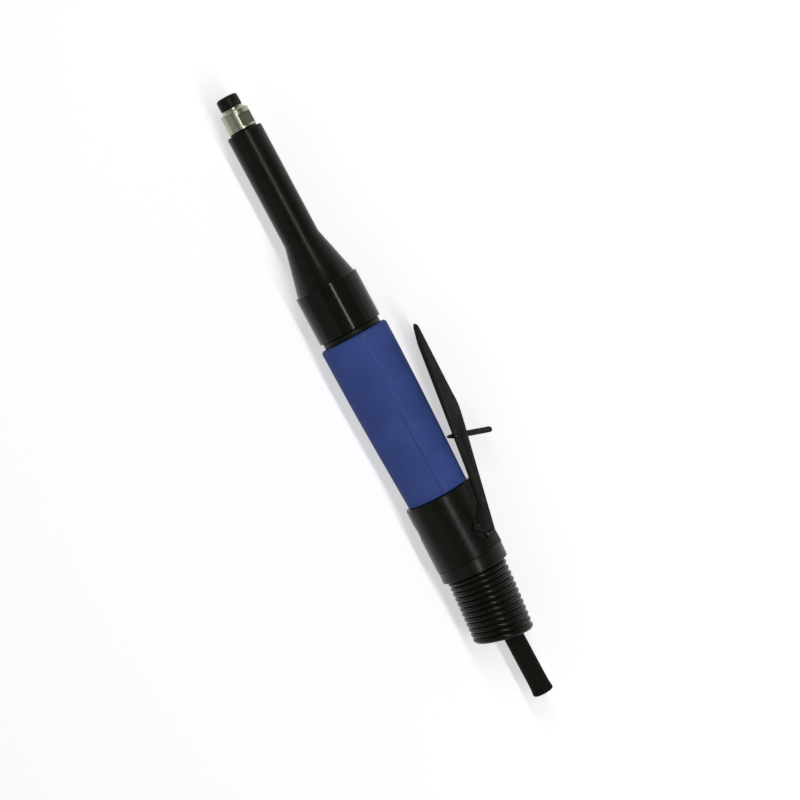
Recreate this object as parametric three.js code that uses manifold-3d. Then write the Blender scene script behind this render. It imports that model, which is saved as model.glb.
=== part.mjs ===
// Long-nose pneumatic straight grinder with a throttle lever, a lock-off catch, an air hose and an
// exhaust hose.
// Millimetres. The tool lies along X with its nose towards -X, and its throttle lever faces +Y.
// Until the last lines x is measured from the front of the collet nut, and y and z from the tool's axis.
import * as THREE from "three";
import { mergeVertices } from "three/addons/utils/BufferGeometryUtils.js";
import Module from "manifold-3d";

const wasm = await Module();
wasm.setup();

// ---------------------------------------------------------------- driving dimensions
const GAP = 0.3; // clearance between neighbouring pieces
const OVER = 1; // how far a cutting body runs past the face it opens
const SMOOTH = 32; // facets round the outer shells
const INNER = 20; // facets round inner pieces
const SMALL = 16; // facets round pins and bores

const NUT = { length: 7.3, radius: 6.75, edge: 1.6, bore: 3.4, lip: 1.9, thread: 5.4, threadLength: 5.4 };
const NUT_FLAT = { half: 6.1, length: 3.8 };
const COLLET = { radius: 4, bore: 3, length: 16.8, slot: 0.6, slotLength: 12.5 };
const RIM = { radius: 6.7, length: 1.7 };
const HEAD = { radius: 8.8, length: 13.2, chamfer: 0.8, flatHalf: 7, flatStart: 3.6, flatLength: 7.4 };
const FLAT_ANGLE = THREE.MathUtils.degToRad(46); // from +Z towards the lever
const SHAFT_RADIUS = 4;
const TANG = { side: 6, length: 14, fromClip: 2, apart: 1 };

const NECK = { radius: 11.25, length: 72.9, wall: 1.25, edge: 0.9 };
const CONE = { length: 30, radius: 18.8, innerLag: 2.8 };
const BASE = { radius: 20.2, length: 31.2, wall: 1.4, edge: 0.9 };
const TUBE_WALL = 1.4;
const TUBE_SETBACK = 1; // how far the inner tube starts behind the sleeve round it
const THREAD_WALL = 1.5;
const THREAD_LENGTH = 10;
const COUPLING_CHAMBER = { radius: 14, start: 33, flare: 10 }; // start and flare measured back from the thread

const SPINDLE_BEARING = { width: 5, race: 0.7, balls: 7 };
const CAGE_HALF = 1.3; // half a cage's width over its balls' radius
const BEARING_NUT = { length: 3.4, bore: 4.9 };
const REAR_BEARING_FROM_CONE = 13.5; // rear spindle bearing behind the start of the cone
const CIRCLIP = { thickness: 1, radius: 6, mouth: 2 };
const COUPLING = { radius: 7, length: 26, fromShoulder: 2 };

const GROOVE = { radius: 18.5, length: 3 };
const GRIP = { length: 108, front: 21.7, middle: 21.3, middleAt: 44.5, rear: 19.45, edge: 2, rearEdge: 0.6 };
const MOTOR_TUBE = { radius: 17.2, wall: 1.9, rearBore: 13 };
const CLAMP_RING = { length: 4.6, bore: 8, setback: 1 };
const MOTOR_BEARING = { width: 8, race: 1.8, balls: 8, radius: 12 };
const END_PLATE_WALL = 4.7;
const ROTOR = { radius: 11, length: 58.5, shaft: 5, slotWidth: 1.9, slotFloor: 5.5 };
const VANES = 5;
const VANE = { thickness: 1.3, height: 4.9 };
const LINER = { bore: 12.5, offset: 1.1 };
const PORT = { radius: 1.6, count: 5, facets: 8 };
const WAVE_WASHER = { thickness: 1.4, bore: 9.5 };

const VALVE_HOUSING = { length: 42, front: 21.8, rear: 22.4, edge: 0.7, socket: 7.5 };
const TUBE_IN_SOCKET = 4.5;
const SOCKET_SEAL = { length: 2.6, thickness: 0.9 };
const CHEEK_CUT = { front: 21.9, slope: Math.tan(THREE.MathUtils.degToRad(11.5)), length: 35.2, rearTop: 20.5 };
const EXHAUST_HOLE = { radius: 2.2, at: 14, angles: [90, 125, 235, 270] };
const EXHAUST_CHAMBER = { radius: 16.5, length: 5 };

const LEVER = { width: 14, sheet: 1.5, pinRadius: 2, ear: 4, headRadius: 2.9, headLength: 1.1 };
const PIVOT = { fromFront: 27.7, y: 11.2 };
const LEVER_TIP = { reach: 124.9, top: 37.1, round: 2.1, wall: 1.5 };
const LEVER_BEND = { reach: 72, y: 36.2, half: 4, lift: 0.3, fall: 0.6 };
const LEVER_END = { reach: 6.5, y: 20.4, depth: 4.5 };
const FLANGE = {
  tipUnder: 34.2,
  frontReach: 112.6,
  frontY: 31.6,
  rearReach: 33.5,
  rearY: 22,
  heelReach: 12,
  heelY: 19,
};
const RIB_HALF = LEVER.width / 2 - LEVER.sheet - 2 * GAP; // half the housing's rib between the lever's ears
const POCKET = { frontY: 16.4, grooveY: 17.9, neckReach: 9.5, neckY: 14.6, round: 5.2, rearY: 12.5 };

const CATCH = { reach: 53.5, y: 27.6, width: 4, bar: 1.7, tab: 20.6, foot: 6.9, toe: 0.6, hub: 2.6, pin: 1.2 };
const CATCH_TILT = THREE.MathUtils.degToRad(17.5);
const CATCH_SLOT = { front: 3, rear: 19 }; // the lever's slot, before and behind the catch's pin
const CATCH_SPRING = { coil: 2.1, wire: 0.3, turns: 3 };

const VALVE = { reach: 12.5, chamber: 5.2, chamberTop: 3.3, upper: 3.5 };
const STEM = { radius: 1.5, top: 22.6, disc: 3.9, discTop: 0.6, discLength: 2.2 };
const BUSHING = { top: 19.2, length: 8 };
const STEM_SEAL = { length: 1.4 };
const SEAT = { bore: 2.4, length: 2 };
const PLUG = { face: -21.2, length: 7, socket: 2.6, socketDepth: 3 };
const VALVE_SPRING = { coil: 2.7, wire: 0.45, turns: 4 };
const PASSAGE = { radius: 1.8, y: 7 };
const FEED = { radius: 2.4, y: -2.5 };

const INLET = { radius: 7.3, wall: 1.8 };
const STRAINER = { thickness: 0.9, hole: 0.9, at: 4.2, holes: 5 };
const NIPPLE = { bore: 2.2, hexAcross: 15, hexLength: 5, hexWeld: 0.5, barbLength: 22, barb: 0.25, barbs: 4 };
const SUPPLY = { radius: 6.1, bore: 4.1, length: 88.8, edge: 0.6 };
const FERRULE = { start: 2, length: 14, wall: 1 };

const COLLAR = { radius: 21.25, drop: 0.95, length: 8.3, wall: 1.85, edge: 0.6, play: 0.7 };
const CUFF_RADIUS = COLLAR.radius - COLLAR.wall - COLLAR.play;
const ADAPTER_FLANGE = CUFF_RADIUS - COLLAR.play;
const ADAPTER = { flange: ADAPTER_FLANGE, flangeLength: 2, spigot: 15.2, bore: 13.4, spigotLength: 13 };
const HOSE = { cuff: CUFF_RADIUS, cuffLength: 5.8, bore: 15.7, root: 17.1, rib: 19, tail: 0.3, ribs: 12, pitch: 3.57 };
// How much the last rib is smaller, and how far the hose's end hangs off its line.
const HOSE_END = { taper: 0.8, sag: 1.2 };
const RIB = { foot: 0.1, front: 0.4, rear: 0.8 }; // shares of the pitch: a rib rises, is full and ends
const HOSE_FACETS = 28;
const HOSE_TILT = THREE.MathUtils.degToRad(3);
const HOSE_BEND = THREE.MathUtils.degToRad(9);

// ---------------------------------------------------------------- stations along the axis
const rimX = NUT.length + GAP;
const headX = rimX + RIM.length;
const headEndX = headX + HEAD.length;
const neckX = headEndX + GAP;
const coneX = neckX + NECK.length;
const baseX = coneX + CONE.length;
const baseEndX = baseX + BASE.length;
const motorTubeX = baseEndX + GAP;
const gripX = motorTubeX + GROOVE.length + GAP;
const gripEndX = gripX + GRIP.length;
const housingX = gripEndX + GAP;
const housingEndX = housingX + VALVE_HOUSING.length;
const pivotX = housingX + PIVOT.fromFront;
const valveX = pivotX - VALVE.reach;
const catchX = pivotX - CATCH.reach;
const threadX = motorTubeX - THREAD_LENGTH;
const tubeEndX = housingX + TUBE_IN_SOCKET;
const inletX = valveX + VALVE.chamber + INLET.wall;
const nippleHexX = housingEndX + 2 * GAP;
const collarX = housingEndX + GAP;
const hoseX = collarX + ADAPTER.flangeLength + HOSE.cuff * Math.sin(HOSE_TILT) + GAP;

// ---------------------------------------------------------------- shapes
// A geometry's surface as a solid that can be joined and cut.
function solidOf(geometry) {
  const bare = geometry.clone();
  bare.deleteAttribute("normal");
  bare.deleteAttribute("uv");
  const welded = mergeVertices(bare, 1e-3);
  const triVerts = new Uint32Array(welded.index.array);
  return new wasm.Manifold(
    new wasm.Mesh({ numProp: 3, vertProperties: welded.attributes.position.array, triVerts }),
  );
}

function geometryOf(solid) {
  const { vertProperties, triVerts } = solid.getMesh();
  const geometry = new THREE.BufferGeometry();
  geometry.setAttribute("position", new THREE.BufferAttribute(vertProperties, 3));
  geometry.setIndex(new THREE.BufferAttribute(triVerts, 1));
  geometry.computeVertexNormals();
  return geometry;
}

function cut(base, ...tools) {
  return geometryOf(tools.reduce((solid, tool) => solid.subtract(solidOf(tool)), solidOf(base)));
}

function fuse(base, ...others) {
  return geometryOf(others.reduce((solid, other) => solid.add(solidOf(other)), solidOf(base)));
}

// A body turned round X from an outline of [x, radius] points. Off the axis, it closes on itself.
function turned(outline, facets = INNER) {
  const points = outline.map(([x, radius]) => new THREE.Vector2(radius, x));
  if (THREE.ShapeUtils.area(points) < 0) points.reverse();
  if (points[0].x > 0) points.push(points[0].clone());
  return new THREE.LatheGeometry(points, facets).rotateZ(-Math.PI / 2);
}

function rod(x0, x1, radius, facets = INNER) {
  return turned([[x0, 0], [x0, radius], [x1, radius], [x1, 0]], facets);
}

function tube(x0, x1, inner, outer, facets = INNER) {
  return turned([[x0, inner], [x0, outer], [x1, outer], [x1, inner]], facets);
}

// A body turned round Y at the station x.
function upright(outline, x, facets = SMALL) {
  return turned(outline, facets).rotateZ(Math.PI / 2).translate(x, 0, 0);
}

// A round pin along Z through (x, y).
function crossPin(x, y, radius, halfLength, facets = SMALL) {
  return rod(-halfLength, halfLength, radius, facets).rotateY(Math.PI / 2).translate(x, y, 0);
}

// A plate with an outline of [x, y] points, from z0 to z1.
function plate(outline, z0, z1) {
  const shape = new THREE.Shape(outline.map(([x, y]) => new THREE.Vector2(x, y)));
  return new THREE.ExtrudeGeometry(shape, { depth: z1 - z0, bevelEnabled: false }).translate(0, 0, z0);
}

function block([x0, y0, z0], [x1, y1, z1]) {
  const box = new THREE.BoxGeometry(x1 - x0, y1 - y0, z1 - z0);
  return box.translate((x0 + x1) / 2, (y0 + y1) / 2, (z0 + z1) / 2);
}

// Points [u, v] on an arc, with its angles in degrees.
function arc(u, v, radius, from, to, steps = 4) {
  return Array.from({ length: steps + 1 }, (_, i) => {
    const angle = THREE.MathUtils.degToRad(from + ((to - from) * i) / steps);
    return [u + radius * Math.cos(angle), v + radius * Math.sin(angle)];
  });
}

// A hexagonal or square bar along X.
function prismBar(x0, x1, across, sides) {
  const radius = across / 2 / Math.cos(Math.PI / sides);
  return rod(x0, x1, radius, sides).rotateX(Math.PI / sides);
}

// A round wire along a curve.
function wire(curve, radius, steps) {
  const section = new THREE.Shape(arc(0, 0, radius, 0, 300, 5).map(([u, v]) => new THREE.Vector2(u, v)));
  return new THREE.ExtrudeGeometry(section, { steps, extrudePath: curve, bevelEnabled: false });
}

class Helix extends THREE.Curve {
  // A coil of the given radius round Z, from z0 to z1.
  constructor(radius, turns, z0, z1) {
    super();
    Object.assign(this, { radius, turns, z0, z1 });
  }

  getPoint(t, target = new THREE.Vector3()) {
    const angle = 2 * Math.PI * this.turns * t;
    return target.set(
      this.radius * Math.cos(angle),
      this.radius * Math.sin(angle),
      THREE.MathUtils.lerp(this.z0, this.z1, t),
    );
  }
}

// ---------------------------------------------------------------- materials and the assembly
const material = (color, roughness, metalness) =>
  new THREE.MeshStandardMaterial({ color, roughness, metalness });
const blackRubber = material(0x1e201c, 0.5, 0);
const blueRubber = material(0x2b3f9a, 0.85, 0);
const blackHousing = material(0x1b1c1b, 0.6, 0.1);
const blackSteel = material(0x1d1e1e, 0.4, 0.7);
const groundSteel = material(0x9a988c, 0.35, 1);
const springSteel = material(0x8b8d90, 0.3, 1);
const bearingSteel = material(0xb9bcc0, 0.2, 1);
const aluminium = material(0xa9acaf, 0.45, 1);
const brass = material(0xb08d45, 0.35, 1);
const seal = material(0x161616, 0.8, 0);
const vaneFibre = material(0x6b4a2c, 0.8, 0);

const tool = new THREE.Group();

function add(name, geometry, finish, parent = tool) {
  const mesh = new THREE.Mesh(geometry, finish);
  mesh.name = name;
  parent.add(mesh);
  return mesh;
}

// ---------------------------------------------------------------- collet and spindle
// Two wrench flats on a round body, on opposite sides.
function flats(x0, x1, half, radius) {
  const side = block([x0, -radius, half], [x1, radius, radius + OVER]);
  return [side.clone().rotateX(-FLAT_ANGLE), side.rotateX(Math.PI - FLAT_ANGLE)];
}

function colletNut() {
  const threadEnd = NUT.length + NUT.threadLength;
  const pocket = COLLET.radius + GAP;
  const body = turned([
    [0, NUT.bore],
    ...arc(NUT.edge, NUT.radius - NUT.edge, NUT.edge, 180, 90),
    [NUT.length, NUT.radius],
    [NUT.length, NUT.thread],
    [threadEnd, NUT.thread],
    [threadEnd, pocket],
    [NUT.lip, pocket],
    [NUT.lip, NUT.bore],
  ]);
  return cut(body, ...flats(NUT.length - NUT_FLAT.length, NUT.length + OVER, NUT_FLAT.half, NUT.radius));
}

const colletX = NUT.lip + GAP;
const colletEndX = colletX + COLLET.length;

function collet() {
  const body = tube(colletX, colletEndX, COLLET.bore, COLLET.radius);
  const slots = [0, 1, 2].map((i) =>
    block(
      [colletX - OVER, 0, -COLLET.slot / 2],
      [colletX + COLLET.slotLength, COLLET.radius + OVER, COLLET.slot / 2],
    )
      .rotateX(((2 * i + 0.25) * Math.PI) / 3),
  );
  return cut(body, ...slots);
}

const rearBearingX = coneX + REAR_BEARING_FROM_CONE;
const circlipX = rearBearingX + SPINDLE_BEARING.width + GAP;
const tangX = circlipX + CIRCLIP.thickness + TANG.fromClip;
const couplingX = tangX + COUPLING.fromShoulder;
const tangEndX = tangX + TANG.length;

function spindle() {
  const socketEnd = rimX + NUT.threadLength + GAP;
  const body = turned([
    [rimX, NUT.thread + GAP],
    [rimX, RIM.radius],
    [headX, RIM.radius],
    [headX, HEAD.radius - HEAD.chamfer],
    [headX + HEAD.chamfer, HEAD.radius],
    [headEndX - HEAD.chamfer, HEAD.radius],
    [headEndX, HEAD.radius - HEAD.chamfer],
    [headEndX, SHAFT_RADIUS],
    [tangX, SHAFT_RADIUS],
    [tangX, 0],
    [colletEndX + GAP, 0],
    [colletEndX + GAP, COLLET.radius + GAP],
    [socketEnd, COLLET.radius + GAP],
    [socketEnd, NUT.thread + GAP],
  ]);
  const flatX = headX + HEAD.flatStart;
  const milled = cut(body, ...flats(flatX, flatX + HEAD.flatLength, HEAD.flatHalf, HEAD.radius));
  return fuse(milled, prismBar(tangX - GAP, tangEndX, TANG.side, 4));
}

add("collet_nut", colletNut(), blackSteel);
add("collet", collet(), springSteel);
add("spindle", spindle(), groundSteel);

// ---------------------------------------------------------------- bearings
// Three pieces round X, centred on its own origin: both rings, and the cage that carries the balls.
function bearing(name, x, { width, race, balls }, shaft, seat) {
  const group = new THREE.Group();
  group.position.x = x + width / 2;
  const bore = shaft + GAP;
  const rim = seat - GAP;
  const pitch = (bore + rim) / 2;
  const ballRadius = (rim - bore) / 2 - race - GAP;
  const half = width / 2;
  add(`${name}_outer_ring`, tube(-half, half, rim - race, rim), bearingSteel, group);
  add(`${name}_inner_ring`, tube(-half, half, bore, bore + race), bearingSteel, group);
  const web = ballRadius / 2;
  const cage = tube(-CAGE_HALF * ballRadius, CAGE_HALF * ballRadius, pitch - web, pitch + web);
  const spheres = Array.from({ length: balls }, (_, i) =>
    new THREE.SphereGeometry(ballRadius, 6, 4).translate(0, pitch, 0).rotateX((2 * Math.PI * i) / balls),
  );
  add(`${name}_ball_cage`, fuse(cage, ...spheres), brass, group);
  tool.add(group);
}

const tubeBore = NECK.radius - NECK.wall - GAP - TUBE_WALL;
const tubeX = neckX + TUBE_SETBACK;
const bearingNutX = tubeX;
const frontBearingX = bearingNutX + BEARING_NUT.length + GAP;
bearing("front_bearing", frontBearingX, SPINDLE_BEARING, SHAFT_RADIUS, tubeBore);
bearing("rear_spindle_bearing", rearBearingX, SPINDLE_BEARING, SHAFT_RADIUS, tubeBore);
const bearingNutEndX = bearingNutX + BEARING_NUT.length;
add("front_bearing_nut", tube(bearingNutX, bearingNutEndX, BEARING_NUT.bore, tubeBore - GAP), blackSteel);
const spacerX = frontBearingX + SPINDLE_BEARING.width + GAP;
const spacerOuter = SHAFT_RADIUS + GAP + SPINDLE_BEARING.race;
add("bearing_spacer", tube(spacerX, rearBearingX - GAP, SHAFT_RADIUS + GAP, spacerOuter, SMALL), groundSteel);
add("spindle_circlip", circlip(), springSteel);

// A retaining ring that is open on one side.
function circlip() {
  const ring = tube(circlipX, circlipX + CIRCLIP.thickness, SHAFT_RADIUS + GAP, CIRCLIP.radius);
  const mouth = block(
    [circlipX - OVER, 0, -CIRCLIP.mouth / 2],
    [circlipX + CIRCLIP.thickness + OVER, CIRCLIP.radius + OVER, CIRCLIP.mouth / 2],
  );
  return cut(ring, mouth);
}

// ---------------------------------------------------------------- nose
const sleeveBore = NECK.radius - NECK.wall;
const baseBore = BASE.radius - BASE.wall;
const innerConeX = coneX + CONE.innerLag;
const innerConeEndX = baseX + CONE.innerLag + BASE.wall;

function noseSleeve() {
  return turned([
    [neckX, sleeveBore],
    ...arc(neckX + NECK.edge, NECK.radius - NECK.edge, NECK.edge, 180, 90, 3),
    [coneX, NECK.radius],
    [baseX, CONE.radius],
    ...arc(baseX + BASE.edge, BASE.radius - BASE.edge, BASE.edge, 150, 90, 2),
    ...arc(baseEndX - BASE.edge, BASE.radius - BASE.edge, BASE.edge, 90, 0, 3),
    [baseEndX, baseBore],
    [innerConeEndX, baseBore],
    [innerConeX, sleeveBore],
  ], SMOOTH);
}

function extensionHousing() {
  const chamberX = threadX - COUPLING_CHAMBER.start + COUPLING_CHAMBER.flare;
  const socket = baseBore - GAP - THREAD_WALL;
  return turned([
    [tubeX, tubeBore],
    [tubeX, sleeveBore - GAP],
    [innerConeX, sleeveBore - GAP],
    [innerConeEndX, baseBore - GAP],
    [baseEndX, baseBore - GAP],
    [baseEndX, socket],
    [threadX - GAP, socket],
    [threadX - GAP, COUPLING_CHAMBER.radius],
    [chamberX, COUPLING_CHAMBER.radius],
    [chamberX - COUPLING_CHAMBER.flare, tubeBore],
  ], SMOOTH);
}

add("nose_sleeve", noseSleeve(), blackRubber);
add("extension_housing", extensionHousing(), blackSteel);

// ---------------------------------------------------------------- motor
const tubeBoreMotor = MOTOR_TUBE.radius - MOTOR_TUBE.wall;
const stackRadius = tubeBoreMotor - GAP;
const clampX = motorTubeX + CLAMP_RING.setback;
const frontPlateX = clampX + CLAMP_RING.length + GAP;
const plateLength = MOTOR_BEARING.width + GAP + END_PLATE_WALL;
const linerX = frontPlateX + plateLength + GAP;
const rotorX = linerX + 2 * GAP;
const rotorEndX = rotorX + ROTOR.length;
const linerEndX = rotorEndX + 2 * GAP;
const rearPlateX = linerEndX + GAP;
const washerX = rearPlateX + plateLength + GAP;
const shoulderX = washerX + WAVE_WASHER.thickness + GAP;

function motorHousing() {
  return turned([
    [threadX, tubeBoreMotor],
    [threadX, baseBore - 2 * GAP - THREAD_WALL],
    [motorTubeX, baseBore - 2 * GAP - THREAD_WALL],
    [motorTubeX, GROOVE.radius],
    [motorTubeX + GROOVE.length, GROOVE.radius],
    [motorTubeX + GROOVE.length, MOTOR_TUBE.radius],
    [tubeEndX, MOTOR_TUBE.radius],
    [tubeEndX, MOTOR_TUBE.rearBore],
    [shoulderX, MOTOR_TUBE.rearBore],
    [shoulderX, tubeBoreMotor],
  ], SMOOTH);
}

function gripSleeve() {
  const bore = MOTOR_TUBE.radius + GAP;
  return turned([
    [gripX, bore],
    ...arc(gripX + GRIP.edge, GRIP.front - GRIP.edge, GRIP.edge, 180, 90, 4),
    [gripX + GRIP.middleAt, GRIP.middle],
    ...arc(gripEndX - GRIP.rearEdge, GRIP.rear - GRIP.rearEdge, GRIP.rearEdge, 90, 0, 2),
    [gripEndX, bore],
  ], SMOOTH);
}

// A disc with a bearing seat that opens towards -X.
function endPlate() {
  return turned([
    [0, MOTOR_BEARING.radius + GAP],
    [0, stackRadius],
    [plateLength, stackRadius],
    [plateLength, ROTOR.shaft + 2 * GAP],
    [MOTOR_BEARING.width + GAP, ROTOR.shaft + 2 * GAP],
    [MOTOR_BEARING.width + GAP, MOTOR_BEARING.radius + GAP],
  ], SMOOTH);
}

function cylinderLiner() {
  const bore = rod(linerX - OVER, linerEndX + OVER, LINER.bore, SMOOTH).translate(0, LINER.offset, 0);
  const spacing = ROTOR.length / (PORT.count + 1);
  const portTop = stackRadius + OVER;
  const ports = Array.from({ length: PORT.count }, (_, i) =>
    upright([[0, 0], [0, PORT.radius], [portTop, PORT.radius], [portTop, 0]], 0, PORT.facets)
      .rotateX(Math.PI / 2)
      .translate(rotorX + spacing * (i + 1), LINER.offset, 0),
  );
  return cut(rod(linerX, linerEndX, stackRadius, SMOOTH), bore, ...ports);
}

const shaftEndX = rearPlateX + plateLength;
const rotorTangX = tangEndX + TANG.apart;

function rotor() {
  const body = turned([
    [rotorTangX + TANG.length, 0],
    [rotorTangX + TANG.length, ROTOR.shaft],
    [rotorX, ROTOR.shaft],
    [rotorX, ROTOR.radius],
    [rotorEndX, ROTOR.radius],
    [rotorEndX, ROTOR.shaft],
    [shaftEndX, ROTOR.shaft],
    [shaftEndX, 0],
  ], SMOOTH);
  const slots = Array.from({ length: VANES }, (_, i) =>
    block(
      [rotorX - OVER, ROTOR.slotFloor, -ROTOR.slotWidth / 2],
      [rotorEndX + OVER, ROTOR.radius + OVER, ROTOR.slotWidth / 2],
    ).rotateX((2 * Math.PI * i) / VANES),
  );
  const tang = prismBar(rotorTangX, rotorTangX + TANG.length + GAP, TANG.side, 4);
  return fuse(cut(body, ...slots), tang);
}

function driveCoupling() {
  const sleeve = rod(couplingX, couplingX + COUPLING.length, COUPLING.radius);
  return cut(sleeve, prismBar(couplingX - OVER, couplingX + COUPLING.length + OVER, TANG.side + 2 * GAP, 4));
}

add("motor_housing", motorHousing(), blackSteel);
add("grip_sleeve", gripSleeve(), blueRubber);
add("motor_clamp_ring", tube(clampX, clampX + CLAMP_RING.length, CLAMP_RING.bore, stackRadius), blackSteel);
add("front_end_plate", endPlate(), groundSteel).position.x = frontPlateX;
const rearPlate = add("rear_end_plate", endPlate(), groundSteel);
rearPlate.rotation.y = Math.PI;
rearPlate.position.x = rearPlateX + plateLength;
bearing("motor_front_bearing", frontPlateX, MOTOR_BEARING, ROTOR.shaft, MOTOR_BEARING.radius + GAP);
const rearBearingSeatX = rearPlateX + END_PLATE_WALL + GAP;
bearing("motor_rear_bearing", rearBearingSeatX, MOTOR_BEARING, ROTOR.shaft, MOTOR_BEARING.radius + GAP);
add("cylinder_liner", cylinderLiner(), groundSteel);
add("rotor", rotor(), groundSteel);
add("drive_coupling", driveCoupling(), blackSteel);
add("wave_washer", tube(washerX, washerX + WAVE_WASHER.thickness, WAVE_WASHER.bore, stackRadius), springSteel);
for (let i = 0; i < VANES; i += 1) {
  const floor = ROTOR.slotFloor + GAP;
  const vane = block(
    [rotorX + GAP, floor, -VANE.thickness / 2],
    [rotorEndX - GAP, floor + VANE.height, VANE.thickness / 2],
  );
  add(`rotor_vane_${i + 1}`, vane, vaneFibre).rotation.x = (2 * Math.PI * i) / VANES;
}

// ---------------------------------------------------------------- valve housing
// The height of the sloping face under the lever at the station x.
const cheekTop = (x) => CHEEK_CUT.front - (x - housingX) * CHEEK_CUT.slope;

function valveHousing() {
  const top = VALVE_HOUSING.rear + OVER;
  const { edge } = VALVE_HOUSING;
  const shell = turned([
    [housingX, 0],
    ...arc(housingX + edge, VALVE_HOUSING.front - edge, edge, 180, 90, 2),
    ...arc(housingEndX - edge, VALVE_HOUSING.rear - edge, edge, 90, 0, 2),
    [housingEndX, 0],
  ], SMOOTH);
  const cutEndX = housingX + CHEEK_CUT.length;
  const slope = plate([
    [housingX - OVER, cheekTop(housingX - OVER)],
    [cutEndX, cheekTop(cutEndX)],
    [cutEndX, CHEEK_CUT.rearTop],
    [housingEndX + OVER, CHEEK_CUT.rearTop],
    [housingEndX + OVER, top],
    [housingX - OVER, top],
  ], -top, top);
  const grooveOuter = LEVER.width / 2 + GAP;
  const roundEar = arc(pivotX, PIVOT.y, POCKET.round, 165, 345, 9);
  const behind = [[cutEndX, POCKET.rearY], [cutEndX, top], [housingX - OVER, top]];
  const neck = [pivotX - POCKET.neckReach, POCKET.neckY];
  const groove = [
    [housingX - OVER, POCKET.grooveY],
    [housingX + VALVE_HOUSING.socket, POCKET.grooveY],
    neck,
    ...roundEar,
    ...behind,
  ];
  const pocket = [[housingX - OVER, POCKET.frontY], neck, ...roundEar, ...behind];
  const socketX = housingX + VALVE_HOUSING.socket;
  const exhaustHoles = EXHAUST_HOLE.angles.map((angle) =>
    rod(socketX - OVER, housingEndX, EXHAUST_HOLE.radius, 8)
      .translate(0, EXHAUST_HOLE.at, 0)
      .rotateX(THREE.MathUtils.degToRad(angle)),
  );
  return cut(
    shell,
    slope,
    plate(groove, RIB_HALF, grooveOuter),
    plate(groove, -grooveOuter, -RIB_HALF),
    plate(pocket, grooveOuter, top),
    plate(pocket, -top, -grooveOuter),
    rod(housingX - OVER, socketX, MOTOR_TUBE.radius + GAP, SMOOTH),
    crossPin(pivotX, PIVOT.y, LEVER.pinRadius + GAP, top),
    upright(
      [[-top, 0], [-top, VALVE.chamber], [VALVE.chamberTop, VALVE.chamber], [VALVE.chamberTop, 0]],
      valveX,
      INNER,
    ),
    upright([[0, 0], [0, VALVE.upper], [top, VALVE.upper], [top, 0]], valveX),
    rod(socketX - OVER, valveX, PASSAGE.radius, 8).translate(0, PASSAGE.y, 0),
    rod(valveX, inletX + OVER, FEED.radius, 8).translate(0, FEED.y, 0),
    rod(inletX, housingEndX + OVER, INLET.radius),
    rod(housingEndX - EXHAUST_CHAMBER.length, housingEndX + OVER, EXHAUST_CHAMBER.radius, SMOOTH),
    ...exhaustHoles,
  );
}

const sealX = housingX + VALVE_HOUSING.socket - GAP;
add("valve_housing", valveHousing(), blackHousing);
add(
  "housing_seal",
  tube(sealX - SOCKET_SEAL.length, sealX, MOTOR_TUBE.radius - SOCKET_SEAL.thickness, MOTOR_TUBE.radius),
  seal,
);

// ---------------------------------------------------------------- throttle valve, upright under the lever
const plugTop = PLUG.face + PLUG.length;
const stemFoot = STEM.discTop - STEM.discLength;

function valveStem() {
  return upright([
    [stemFoot, 0],
    [stemFoot, STEM.disc],
    [STEM.discTop, STEM.disc],
    [STEM.discTop, STEM.radius],
    [STEM.top - STEM.radius / 2, STEM.radius],
    [STEM.top, STEM.radius / 2],
    [STEM.top, 0],
  ], valveX);
}

const sleeveRound = (y0, y1, inner, outer) =>
  upright([[y0, inner], [y0, outer], [y1, outer], [y1, inner]], valveX);
const upperFit = VALVE.upper - GAP;
const bushingFoot = BUSHING.top - BUSHING.length;
const chamberFit = VALVE.chamber - GAP;
const seatTop = VALVE.chamberTop - GAP;

function valvePlug() {
  const body = sleeveRound(PLUG.face, plugTop, 0, chamberFit);
  const socket = prismBar(PLUG.face - OVER, PLUG.face + PLUG.socketDepth, 2 * PLUG.socket, 6);
  return cut(body, socket.rotateZ(Math.PI / 2).translate(valveX, 0, 0));
}

function valveSpring() {
  const reach = VALVE_SPRING.wire + GAP;
  const coil = new Helix(VALVE_SPRING.coil, VALVE_SPRING.turns, plugTop + reach, stemFoot - reach);
  return wire(coil, VALVE_SPRING.wire, 10 * VALVE_SPRING.turns).rotateX(-Math.PI / 2).translate(valveX, 0, 0);
}

add("valve_stem", valveStem(), groundSteel);
add("valve_bushing", sleeveRound(bushingFoot, BUSHING.top, STEM.radius + GAP, upperFit), brass);
const stemSealTop = bushingFoot - GAP;
const stemSealFoot = stemSealTop - STEM_SEAL.length;
add("valve_stem_seal", sleeveRound(stemSealFoot, stemSealTop, STEM.radius + GAP, upperFit), seal);
add("valve_seat", sleeveRound(seatTop - SEAT.length, seatTop, SEAT.bore, chamberFit), brass);
add("valve_spring", valveSpring(), springSteel);
add("valve_plug", valvePlug(), blackSteel);

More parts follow.
